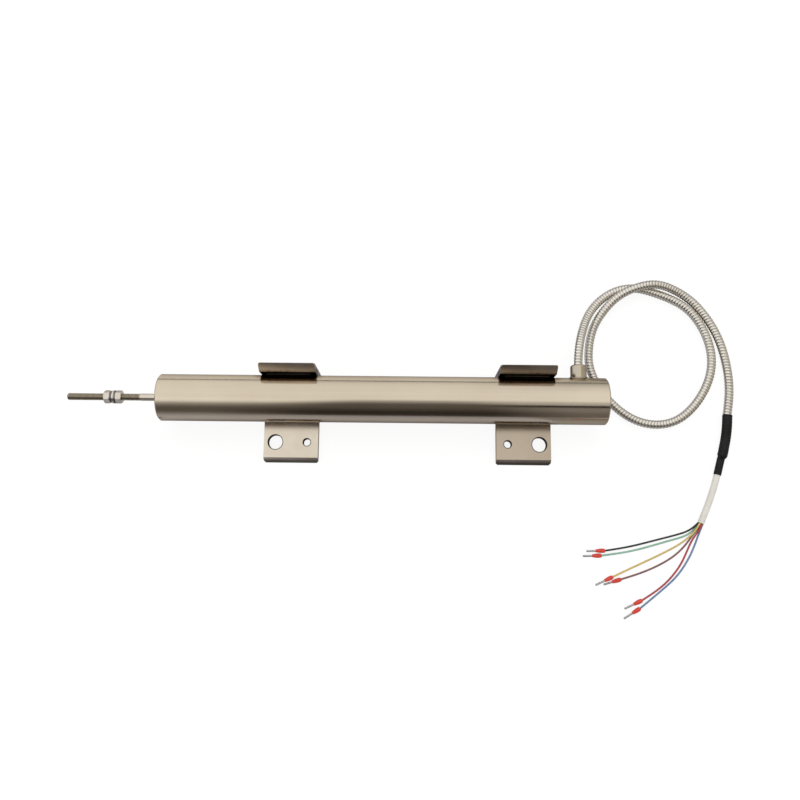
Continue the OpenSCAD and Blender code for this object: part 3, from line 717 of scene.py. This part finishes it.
for side, (bright, dull, toe_bright, toe_dull, gap_shade_rim) in BRACKET_STEELS.items():
    angle_steel = steel_finish(side + "_angle_steel", bright, dull, roughness=0.24,
                               grain=(90.0, 90.0, 90.0), depth=0.00001, patches=22.0)
    toe_steel = steel_finish(side + "_toe_steel", toe_bright, toe_dull, roughness=0.42,
                             grain=(90.0, 90.0, 90.0), depth=0.00002, patches=60.0)
    # Painted shade darkens both steels next to the upper weld, in the gap behind the tube
    for steel in (angle_steel, toe_steel):
        paint_gap_shade(steel, reach=0.01, stops=[(0.0, (0.10, 0.075, 0.06)), (0.66, (0.12, 0.09, 0.07)),
                                               (0.8, gap_shade_rim), (0.93, 1.0)])
    shade_drilled(angle_steel, [BOLT_HOLE, PILOT_HOLE], HOLE_SHADE)
    # Painted shade darkens the foot's toe towards the table
    shade_low(toe_steel, FOOT_TOP, TOE_SHADE)
    angle = eased_copy(side + "_angle", side + "_bracket", ease=0.0003)
    filed_toes(angle.data)
    angle.data.materials.append(angle_steel)
    angle.data.materials.append(toe_steel)
    angle.data.polygons.foreach_set("material_index", toe_faces(angle.data))
    angle.modifiers["flat_faces"].delimit = {"MATERIAL"}
    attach(angle, "housing")


# Welds
# Fillet welds in the two narrow corners between the tube and the angle, and a saddle weld round the
# foot of the outlet sleeve. Each bead was laid in small overlapping drops. The outlet bead stayed
# brown; the fillet beads are coloured near-black as painted shade of the narrow corners.
weld_steel = steel_finish("weld_steel", (0.07, 0.055, 0.045), (0.03, 0.025, 0.02), roughness=0.45,
                          grain=(300.0, 900.0, 900.0), depth=0.00003, patches=120.0)
for node in ("front_bracket_weld", "rear_bracket_weld"):
    dress_node(node, weld_steel)
dress_node("outlet_weld", steel_finish("bead_steel", (0.48, 0.41, 0.33), (0.35, 0.29, 0.22),
                                       roughness=0.3, grain=(300.0, 900.0, 900.0), depth=0.00002,
                                       patches=120.0))


# Outlet sleeve
# A short turned sleeve of stainless steel, coped to the tube's flank and welded on. The conduit
# leaves the tube through it.
outlet_steel = steel_finish("outlet_steel", (0.61, 0.54, 0.43), (0.51, 0.45, 0.345), roughness=0.2,
                            grain=(500.0, 60.0, 500.0), depth=0.000006)
dress_node("outlet_sleeve", outlet_steel)


# Core and rod
# A soft magnetic core on a non-magnetic stainless rod. The rod's outer end has a rolled M5 thread,
# its shank is smooth, and a thin spigot at its inner end holds the core.
ROD_TIP = node_box("core_rod")[0][0]
ROD_SIDES = 28
THREAD_LENGTH, THREAD_PITCH, THREAD_STEPS = 0.05, 0.0008, 10
THREAD_CREST, THREAD_ROOT, ROD_RADIUS = 0.00243, 0.00198, 0.0025
ROOT_SHARE, FLANK_SHARE = 0.12, 0.70
TIP_CONE = 0.0006
NECK_LENGTH, EDGE_LENGTH = 0.0003, 0.0001
SHOULDER_AT = 0.230
# Crown value given to the thread's crests, where the thread's painted shade is lightest
THREAD_CROWN = 0.8
SPIGOT_RADIUS, SPIGOT_LENGTH = 0.002, 0.012


def rings_on_axis(x, radius, sides):
    """Rings round the tube's axis: at each x, points at the given radius."""
    angle = np.linspace(0, 2 * math.pi, sides, endpoint=False)[None, :]
    reach = reach_grid(radius, len(x), sides)
    along = np.broadcast_to(x[:, None], reach.shape)
    return np.stack([along, TUBE_Y + reach * np.cos(angle), TUBE_Z + reach * np.sin(angle)], axis=-1)


def threaded_radius(along, sides):
    """Radius of the threaded end: a thread of about 60 degrees with narrow flat crests and roots,
    which climbs with the angle and runs out over its last pitch, and a cone at the tip."""
    turn = along[:, None] / THREAD_PITCH - np.arange(sides)[None, :] / sides
    wave = np.abs(np.mod(turn, 1.0) - 0.5) * 2
    lift = np.clip((wave - ROOT_SHARE) / FLANK_SHARE, 0, 1)
    radius = THREAD_ROOT + (THREAD_CREST - THREAD_ROOT) * lift
    cone = THREAD_CREST - TIP_CONE + along[:, None]
    runout = np.clip((along[:, None] - THREAD_LENGTH) / THREAD_PITCH + 1, 0, 1)
    return np.minimum(radius, cone) * (1 - runout) + THREAD_CREST * runout


thread_along = np.linspace(0, THREAD_LENGTH, int(THREAD_LENGTH / THREAD_PITCH * THREAD_STEPS) + 1)
thread_reach = threaded_radius(thread_along, ROD_SIDES)
shank_start = THREAD_LENGTH + NECK_LENGTH
shank_along = np.array([shank_start, shank_start + EDGE_LENGTH, SHOULDER_AT - EDGE_LENGTH, SHOULDER_AT])
spigot_along = np.array([SHOULDER_AT, SHOULDER_AT + SPIGOT_LENGTH])
rod_grid = np.concatenate([rings_on_axis(ROD_TIP + thread_along, thread_reach, ROD_SIDES),
                           rings_on_axis(ROD_TIP + shank_along, ROD_RADIUS, ROD_SIDES),
                           rings_on_axis(ROD_TIP + spigot_along, SPIGOT_RADIUS, ROD_SIDES)])
rod = grid_piece("threaded_rod", rod_grid, sharp_angle=50)
thread_crown = THREAD_CROWN * (thread_reach - THREAD_ROOT) / (THREAD_CREST - THREAD_ROOT)
smooth_crown = np.ones((len(shank_along) + len(spigot_along), ROD_SIDES))
store_values(rod, "crown", np.concatenate([thread_crown, smooth_crown]))
rod_steel = steel_finish("rod_steel", (0.72, 0.65, 0.56), (0.58, 0.51, 0.43), roughness=0.2,
                         grain=(30.0, 900.0, 900.0), depth=0.000005)
# Painted shade darkens the thread, most in its roots, against the smooth shank
rod.data.materials.append(shade_by_attribute(rod_steel, "crown", [
    (0.0, (0.44, 0.43, 0.39)), (THREAD_CROWN, (0.86, 0.85, 0.79)), (0.9, 1.0)]))
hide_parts("core_rod")
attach(rod, "rod")
dress_node("core", steel_finish("core_alloy", (0.40, 0.40, 0.41), (0.30, 0.30, 0.31), roughness=0.3,
                                grain=(60.0, 500.0, 500.0), depth=0.000006))


# Nuts and washers
# Two bright hexagon nuts clamp whatever the rod is to move between two flat washers, the inner one
# darkened as painted shade, and a dark split spring washer lies under the outer nut.
nut_steel = steel_finish("nut_steel", (0.76, 0.71, 0.62), (0.64, 0.58, 0.50), roughness=0.17,
                         grain=(300.0, 300.0, 300.0), depth=0.000006, patches=60.0)
bright_washer = steel_finish("outer_flat_washer_steel", (0.86, 0.83, 0.76), (0.76, 0.72, 0.65),
                             roughness=0.2, grain=(400.0, 400.0, 400.0), depth=0.000006)
# The inner washer's steel is the outer one's made darker: painted shade
painted_shade_washer = steel_finish("inner_flat_washer_steel", (0.34, 0.30, 0.27), (0.26, 0.23, 0.21),
                           roughness=0.2, grain=(400.0, 400.0, 400.0), depth=0.000006)
spring_steel = steel_finish("spring_steel", (0.25, 0.23, 0.21), (0.15, 0.14, 0.13), roughness=0.3,
                            grain=(400.0, 400.0, 400.0), depth=0.00001)
for node, ease, steel, slot in (("outer_nut", 0.00012, nut_steel, "nut_steel"),
                                ("inner_nut", 0.00012, nut_steel, "nut_steel"),
                                ("outer_flat_washer", 0.00015, bright_washer, "washer_steel"),
                                ("inner_flat_washer", 0.00015, painted_shade_washer, "washer_steel"),
                                ("spring_washer", 0.0001, spring_steel, "spring_steel")):
    clamp_piece = eased_copy(node + "_eased", node, ease)
    clamp_piece.data.materials.append(steel)
    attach(clamp_piece, "rod")


# Floor and light
# A white table in an even white room. Dark and grey cloths stand and lie round the sensor, and only
# shiny surfaces show them: they draw the dark and the grey bands along the tube.
TABLE_HALF = 3.0
TABLE_GLOW, GLOW_SHARE = 1.08, 0.82
TABLE_GAP = 0.0001
table_z = float(cad_low[2]) - TABLE_GAP


def seen_directly(tree):
    """1 for rays from the camera, off a shiny surface or through a clear one, and 0 for others."""
    path = shader_node(tree, "ShaderNodeLightPath").outputs
    first = maths(tree, "MAXIMUM", path["Is Camera Ray"], path["Is Glossy Ray"])
    return maths(tree, "MAXIMUM", first, path["Is Transmission Ray"])


def mixed_shader(tree, share, first, second):
    """Node that mixes two shader nodes by the share."""
    made = shader_node(tree, "ShaderNodeMixShader")
    for socket, value in zip(made.inputs, (share, first.outputs[0], second.outputs[0])):
        feed(tree, socket, value)
    return made


def bare_material(name):
    """New material without nodes."""
    material = new_material(name)
    material.node_tree.nodes.clear()
    return material


def show_surface(tree, shader):
    """Joins a shader node to a new output of its material."""
    shader_node(tree, "ShaderNodeOutputMaterial", Surface=shader.outputs[0])


def white_table():
    """Matt white paper. Seen directly, most of it is an even white glow, and the rest is lit paper,
    so that it is white and keeps a soft trace of the shadows."""
    material = bare_material("white_table")
    tree = material.node_tree
    speckle = noise(tree, object_place(tree), 300.0, detail=2.0)
    paper = ramp_colour(tree, speckle, [(0.3, 0.78), (0.7, 0.82)])
    matt = shader_node(tree, "ShaderNodeBsdfDiffuse", Color=paper)
    glow = shader_node(tree, "ShaderNodeEmission", {"Strength": TABLE_GLOW})
    lifted = mixed_shader(tree, GLOW_SHARE, matt, glow)
    show_surface(tree, mixed_shader(tree, seen_directly(tree), matt, lifted))
    return material


def level_corners(low, high, z):
    """Corners of a level rectangle between two corners (X, Y)."""
    return [(low[0], low[1], z), (high[0], low[1], z), (high[0], high[1], z), (low[0], high[1], z)]


def upright_corners(start, end, height):
    """Corners of an upright rectangle over the line between two places (X, Y)."""
    return [(*start, 0.0), (*end, 0.0), (*end, height), (*start, height)]


def flat_panel(name, corners, material):
    """One flat face through the corners, added to the stage."""
    mesh = bpy.data.meshes.new(name)
    mesh.from_pydata(corners, [], [tuple(range(len(corners)))])
    panel = scene_object(name, mesh)
    panel.data.materials.append(material)
    return panel


flat_panel("table", level_corners((-TABLE_HALF, -TABLE_HALF), (TABLE_HALF, TABLE_HALF), table_z),
           white_table())

# Where the cloths stand and lie, and where along X and Y their colours change
FRONT_Y, BACK_Y, SIDE_X, SIDE_BACK_Y = -0.26, 0.38, 0.6, 0.9
SCREEN_HALF = 1.2
FRONT_HEIGHT, BACK_HEIGHT, SIDE_HEIGHT = 1.6, 0.7, 1.2
LEFT_FADE, RIGHT_FADE = (-0.10, -0.20), (0.09, 0.17)
RUNNER_PALE_Y = 0.08
LOOPS_FADE = (0.122, 0.132)
LOOPS_GREY = (0.5, 0.5, 0.5, 1.0)
ROD_STRIP_LOW, ROD_STRIP_HIGH = (-0.32, -0.025), (-0.179, 0.05)
END_STRIP_LOW, END_STRIP_HIGH = (0.106, -0.25), (0.17, 0.01)
FLAG_FRONT, FLAG_BACK, FLAG_HEIGHT = (0.1, 0.048), (0.1, 0.14), 0.021
CLOTH_THICKNESS = 0.00005


def glowing_cloth(name, axis, span, middle, left=None, right=None):
    """Cloth that glows as faintly as it would in the room's light.

    Its brightness follows the ramp middle along the named axis, over the given span. Where the
    ramps left and right are given, it changes to them along X, over LEFT_FADE and RIGHT_FADE.
    """
    material = bare_material(name)
    tree = material.node_tree
    axes = object_axes(tree)
    run = share_between(tree, axes[axis], *span)
    colour = ramp_colour(tree, run, middle)
    for stops, fade in ((left, LEFT_FADE), (right, RIGHT_FADE)):
        if stops:
            colour = mixed_colour(tree, share_between(tree, axes["X"], *fade), colour,
                                  ramp_colour(tree, run, stops))
    show_surface(tree, shader_node(tree, "ShaderNodeEmission", Color=colour))
    return material


def runner_cloth():
    """Grey matt cloth, paler behind the sensor, which darkens by itself in narrow gaps.

    Its colour follows Y from the front screen to RUNNER_PALE_Y, and changes to LOOPS_GREY under
    the lead's loops.
    """
    material = bare_material("runner_cloth")
    tree = material.node_tree
    axes = object_axes(tree)
    greys = ramp_colour(tree, share_between(tree, axes["Y"], FRONT_Y, RUNNER_PALE_Y), [
        (0.0, (0.24, 0.24, 0.27)), (0.4, (0.36, 0.37, 0.42)), (0.6, (0.44, 0.45, 0.51)),
        (0.75, (0.56, 0.56, 0.62)), (0.92, (0.5, 0.51, 0.58)), (0.95, 0.8)])
    colour = mixed_colour(tree, share_between(tree, axes["X"], *LOOPS_FADE), greys, LOOPS_GREY)
    show_surface(tree, shader_node(tree, "ShaderNodeBsdfDiffuse", Color=colour))
    return material


def warm(grey):
    """Grey of the given brightness, slightly reddish where it is darker than 0.4."""
    share = min(grey / 0.4, 1.0)
    return (grey, (0.86 + 0.14 * share) * grey, (0.80 + 0.20 * share) * grey)


def warm_stops(span, places, greys):
    """Ramp stops of warm greys at the given places, in metres, over the span."""
    return [(place / span, warm(grey)) for place, grey in zip(places, greys)]


def shown_in_metal(name, corners, cloth):
    """Panel of cloth that only shiny surfaces show."""
    panel = flat_panel(name, corners, cloth)
    panel.visible_camera = False
    panel.visible_diffuse = False
    panel.visible_shadow = False
    panel.visible_transmission = False


front_left = warm_stops(FRONT_HEIGHT, (0.0, 0.03, 0.09, 0.16, 0.22, 0.31, 0.43, 0.7, 1.6),
                        (0.34, 0.21, 0.12, 0.11, 0.13, 0.22, 0.42, 1.0, 1.1))
front_middle = warm_stops(FRONT_HEIGHT, (0.0, 0.03, 0.1, 0.19, 0.28, 0.4, 0.5, 0.6, 0.9, 1.3, 1.6),
                          (0.12, 0.05, 0.03, 0.07, 0.11, 0.12, 0.13, 0.22, 0.45, 0.68, 0.9))
front_right = warm_stops(FRONT_HEIGHT,
                         (0.0, 0.06, 0.12, 0.19, 0.28, 0.35, 0.38, 0.49, 0.53, 0.86, 1.3, 1.6),
                         (0.14, 0.17, 0.18, 0.24, 0.26, 0.22, 0.0, 0.0, 0.48, 0.62, 0.82, 1.0))
shown_in_metal("front_screen",
               upright_corners((-SCREEN_HALF, FRONT_Y), (SCREEN_HALF, FRONT_Y), FRONT_HEIGHT),
               glowing_cloth("front_cloth", "Z", (0.0, FRONT_HEIGHT), front_middle,
                             front_left, front_right))
back_left = [(0.0, 0.14), (0.043, 0.14), (0.06, 0.8), (0.2, 0.95), (1.0, 1.0)]
back_middle = [(0.0, 0.10), (0.043, 0.10), (0.06, 0.7), (0.18, 0.85), (0.35, 0.95), (1.0, 1.0)]
back_right = [(0.0, 0.14), (0.043, 0.14), (0.06, 0.45), (0.18, 0.65), (0.35, 0.85), (0.6, 0.93),
              (1.0, 1.0)]
shown_in_metal("back_screen",
               upright_corners((-SCREEN_HALF, BACK_Y), (SCREEN_HALF, BACK_Y), BACK_HEIGHT),
               glowing_cloth("back_cloth", "Z", (0.0, BACK_HEIGHT), back_middle,
                             back_left, back_right))
shown_in_metal("table_runner",
               level_corners((-SCREEN_HALF, FRONT_Y), (SCREEN_HALF, BACK_Y), table_z + CLOTH_THICKNESS),
               runner_cloth())
strip_z = table_z + 2 * CLOTH_THICKNESS
shown_in_metal("rod_strip", level_corners(ROD_STRIP_LOW, ROD_STRIP_HIGH, strip_z),
               glowing_cloth("strip_cloth", "Y", (ROD_STRIP_LOW[1], ROD_STRIP_HIGH[1]),
                             [(0.0, 0.05), (1.0, 1.0)]))
shown_in_metal("end_strip", level_corners(END_STRIP_LOW, END_STRIP_HIGH, strip_z),
               glowing_cloth("end_cloth", "Y", (END_STRIP_LOW[1], END_STRIP_HIGH[1]),
                             [(0.0, warm(0.29)), (0.7, warm(0.22)), (1.0, warm(0.46))]))
shown_in_metal("side_screen", upright_corners((SIDE_X, FRONT_Y), (SIDE_X, SIDE_BACK_Y), SIDE_HEIGHT),
               glowing_cloth("side_cloth", "Z", (0.0, SIDE_HEIGHT), [
                   (0.0, (0.50, 0.47, 0.40)), (0.7, (0.62, 0.59, 0.50)), (1.0, (0.8, 0.78, 0.7))]))
shown_in_metal("outlet_flag", upright_corners(FLAG_FRONT, FLAG_BACK, FLAG_HEIGHT),
               glowing_cloth("flag_cloth", "Z", (0.0, 1.0), [(0.0, 0.2), (1.0, 1.0)]))

ROOM_LIGHT, ROOM_COLOUR = 0.82, (1.0, 0.985, 0.97, 1.0)
world = bpy.data.worlds.new("room")
bpy.context.scene.world = world
world.use_nodes = True
room = world.node_tree
room.nodes.clear()
lighting = shader_node(room, "ShaderNodeBackground", {"Strength": ROOM_LIGHT, "Color": ROOM_COLOUR})
walls = shader_node(room, "ShaderNodeBackground", {"Color": (1.0, 1.0, 1.0, 1.0)})
shader_node(room, "ShaderNodeOutputWorld",
            Surface=mixed_shader(room, seen_directly(room), lighting, walls).outputs[0])

LAMP_SIZE, LAMP_POWER = (1.2, 0.8), 4.0
LAMP_PLACE, LAMP_TILT = (0.0, 0.7, 1.0), -35.0
lamp_data = bpy.data.lights.new("soft_box", "AREA")
lamp_data.shape = "RECTANGLE"
lamp_data.size, lamp_data.size_y = LAMP_SIZE
lamp_data.energy = LAMP_POWER
lamp = scene_object("soft_box", lamp_data)
lamp.location = LAMP_PLACE
lamp.rotation_euler = (math.radians(LAMP_TILT), 0.0, 0.0)
lamp.visible_glossy = False
